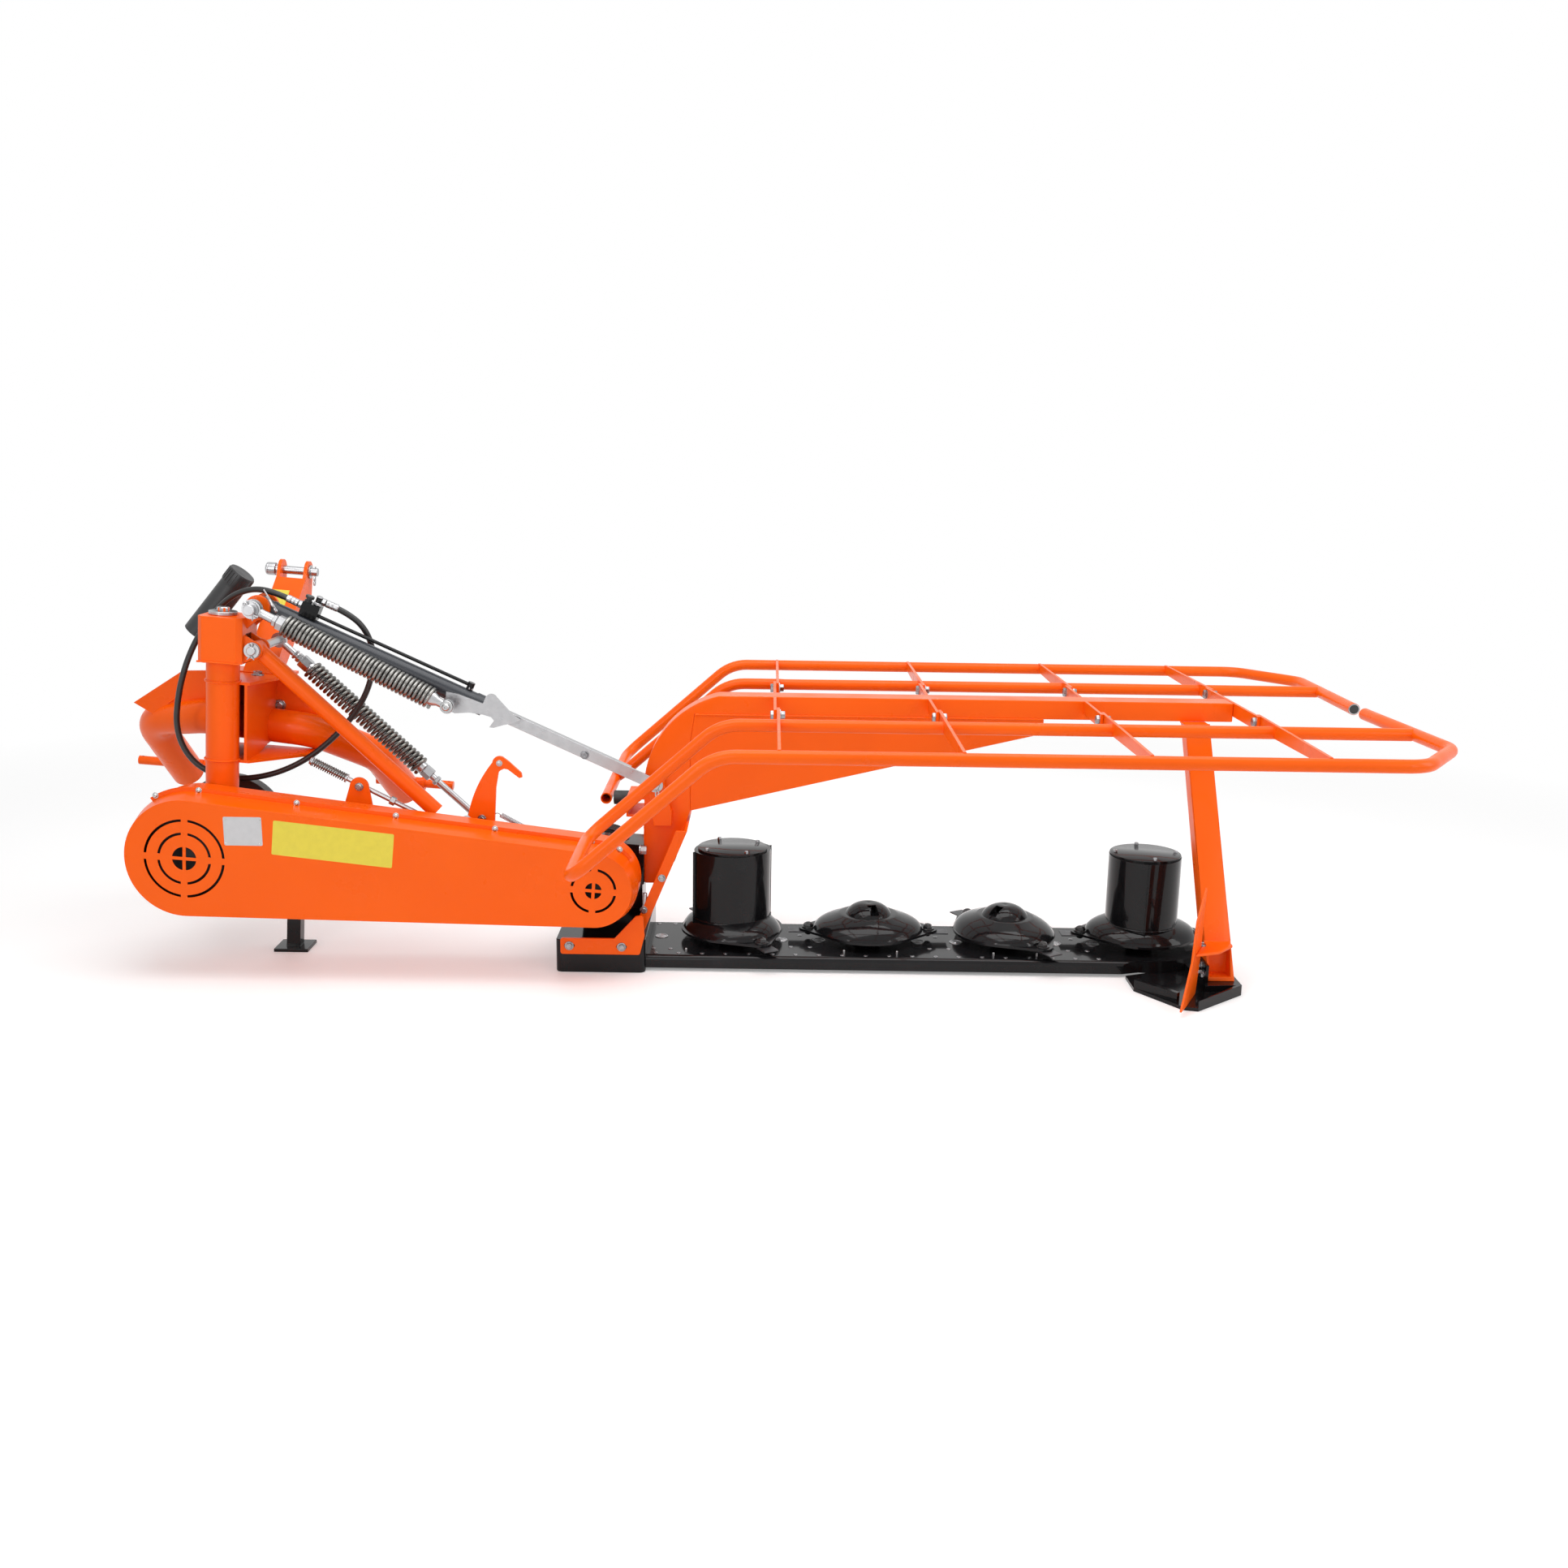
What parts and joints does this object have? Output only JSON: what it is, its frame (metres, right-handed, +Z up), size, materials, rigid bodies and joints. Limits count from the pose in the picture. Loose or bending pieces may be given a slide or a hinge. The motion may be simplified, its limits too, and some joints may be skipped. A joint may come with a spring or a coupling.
{
  "type": "side-mounted disc mower",
  "caption": "Three-point side disc mower: leaning headstock, belt-driven swing arm, lift linkage with springs, low cutter bar with oval discs and folding guard frame.",
  "frame": {"origin": "on the ground under the middle of the parked machine", "axes": "+Y is the driving direction, +X runs outwards along the cutter bar, +Z is up"},
  "size_m": [3.745, 1.574, 1.1171],
  "materials": {
    "orange_paint": "gloss powder coat",
    "black_paint": "gloss paint",
    "zinc_steel": "zinc plated",
    "spring_steel": "dark oiled steel",
    "cylinder_grey": "semi-gloss paint",
    "chrome_rod": "hard chrome",
    "belt_rubber": "matt rubber",
    "hose_rubber": "smooth hose cover",
    "black_plastic": "satin moulded plastic",
    "bumper_rubber": "matt rubber"
  },
  "bodies": {
    "headstock": {"pivot_post": "orange_paint", "hitch_arch": "orange_paint", "hitch_plates": "orange_paint", "lower_link_pins": "orange_paint", "top_link_mast": "orange_paint", "top_link_pin": "zinc_steel", "document_tube": "black_plastic"},
    "carrier": {"swivel_head": "orange_paint", "head_pin": "zinc_steel", "strut": "orange_paint", "strut_pin": "zinc_steel", "carrier_arm": "orange_paint", "cover_back": "orange_paint", "belt_cover": "orange_paint", "drive_belt": "belt_rubber", "shaft_guard": "black_paint", "lower_spring": "spring_steel", "lower_spring_rod": "zinc_steel", "lower_spring_lug": "zinc_steel", "breakaway_ear": "orange_paint", "breakaway_rod": "zinc_steel", "hook_lug": "orange_paint", "stand_sleeve": "black_paint", "lift_hose": "hose_rubber", "hook_spring": "zinc_steel"},
    "input_rotor": {"drive_pulley": "zinc_steel"},
    "driven_rotor": {"driven_pulley": "zinc_steel"},
    "lift_cylinder": {"lift_barrel": "cylinder_grey", "upper_spring": "zinc_steel", "spring_rod": "zinc_steel", "lever_plate": "zinc_steel", "lift_pipe": "black_paint"},
    "lift_rod": {"piston_rod": "chrome_rod", "lift_bar": "zinc_steel"},
    "hook": {"transport_hook": "orange_paint"},
    "stand": {"parking_stand": "black_paint"},
    "mower_frame": {"gearbox": "black_paint", "main_beam": "orange_paint", "beam_gusset": "orange_paint", "lift_lug": "orange_paint", "inner_plate": "orange_paint", "inner_shoe": "black_paint", "inner_bracket": "orange_paint", "cutter_bar": "black_paint", "outer_post": "orange_paint", "outer_shoe": "black_paint", "swath_board": "orange_paint", "guard_brackets": "orange_paint", "guard_rest": "orange_paint", "guard_bumper": "bumper_rubber"},
    "guard_rear_half": {"guard_rear": "orange_paint"},
    "guard_front_half": {"guard_front": "orange_paint"},
    "disc_rotor_1": {"disc_1": "black_paint", "knives_1": "zinc_steel"},
    "disc_rotor_2": {"disc_2": "black_paint", "knives_2": "zinc_steel"},
    "disc_rotor_3": {"disc_3": "black_paint", "knives_3": "zinc_steel"},
    "disc_rotor_4": {"disc_4": "black_paint", "knives_4": "zinc_steel"}
  },
  "joints": [
    {"name": "breakaway_swing", "type": "hinge", "parent": "headstock", "child": "carrier", "pos_m": [-1.38329, -0.109, 0.86464], "axis": [0.0698, 0, 0.9976], "range_deg": [-25, 0]},
    {"name": "bar_lift", "type": "hinge", "parent": "carrier", "child": "mower_frame", "pos_m": [-0.33387, -0.06, 0.275], "axis": [0, -1, 0], "range_deg": [-10, 90]},
    {"name": "cylinder_pivot", "type": "hinge", "parent": "carrier", "child": "lift_cylinder", "pos_m": [-1.27458, -0.08, 1.01442], "axis": [0, -1, 0], "range_deg": [-17, 2], "deforming": ["lift_hose"]},
    {"name": "rod_slide", "type": "slide", "parent": "lift_cylinder", "child": "lift_rod", "axis": [0.9123, 0, -0.4095], "range_m": [-0.295, 0.0346]},
    {"name": "rear_guard_fold", "type": "hinge", "parent": "mower_frame", "child": "guard_rear_half", "pos_m": [-0.33387, -0.235, 0.755], "axis": [1, 0, 0], "range_deg": [-90, 0]},
    {"name": "front_guard_fold", "type": "hinge", "parent": "mower_frame", "child": "guard_front_half", "pos_m": [-0.33387, 0.235, 0.755], "axis": [-1, 0, 0], "range_deg": [-90, 0]},
    {"name": "hook_swing", "type": "hinge", "parent": "carrier", "child": "hook", "pos_m": [-0.6691, -0.125, 0.42675], "axis": [0, 1, 0], "range_deg": [-30, 0]},
    {"name": "stand_slide", "type": "slide", "parent": "carrier", "child": "stand", "axis": [-0.0698, 0, -0.9976], "range_m": [-0.18, 0]},
    {"name": "input_spin", "type": "hinge", "parent": "carrier", "child": "input_rotor", "pos_m": [-1.44736, 0, 0.34986], "axis": [0, 1, 0], "continuous": true},
    {"name": "driven_spin", "type": "hinge", "parent": "carrier", "child": "driven_rotor", "pos_m": [-0.33387, -0.2, 0.275], "axis": [0, 1, 0], "continuous": true},
    {"name": "disc_1_spin", "type": "hinge", "parent": "mower_frame", "child": "disc_rotor_1", "pos_m": [0.03913, 0, 0.07], "axis": [0, 0, 1], "continuous": true},
    {"name": "disc_2_spin", "type": "hinge", "parent": "mower_frame", "child": "disc_rotor_2", "pos_m": [0.44313, 0, 0.07], "axis": [0, 0, -1], "continuous": true},
    {"name": "disc_3_spin", "type": "hinge", "parent": "mower_frame", "child": "disc_rotor_3", "pos_m": [0.84713, 0, 0.07], "axis": [0, 0, 1], "continuous": true},
    {"name": "disc_4_spin", "type": "hinge", "parent": "mower_frame", "child": "disc_rotor_4", "pos_m": [1.25113, 0, 0.07], "axis": [0, 0, -1], "continuous": true}
  ],
  "couplings": [
    {"joint": "cylinder_pivot", "follows": "bar_lift", "ratio": -0.17807},
    {"joint": "rod_slide", "follows": "bar_lift", "m_per_rad": -0.18653},
    {"joint": "driven_spin", "follows": "input_spin", "ratio": 1.6829},
    {"joint": "disc_1_spin", "follows": "input_spin", "ratio": 5},
    {"joint": "disc_2_spin", "follows": "input_spin", "ratio": 5},
    {"joint": "disc_3_spin", "follows": "input_spin", "ratio": 5},
    {"joint": "disc_4_spin", "follows": "input_spin", "ratio": 5}
  ]
}
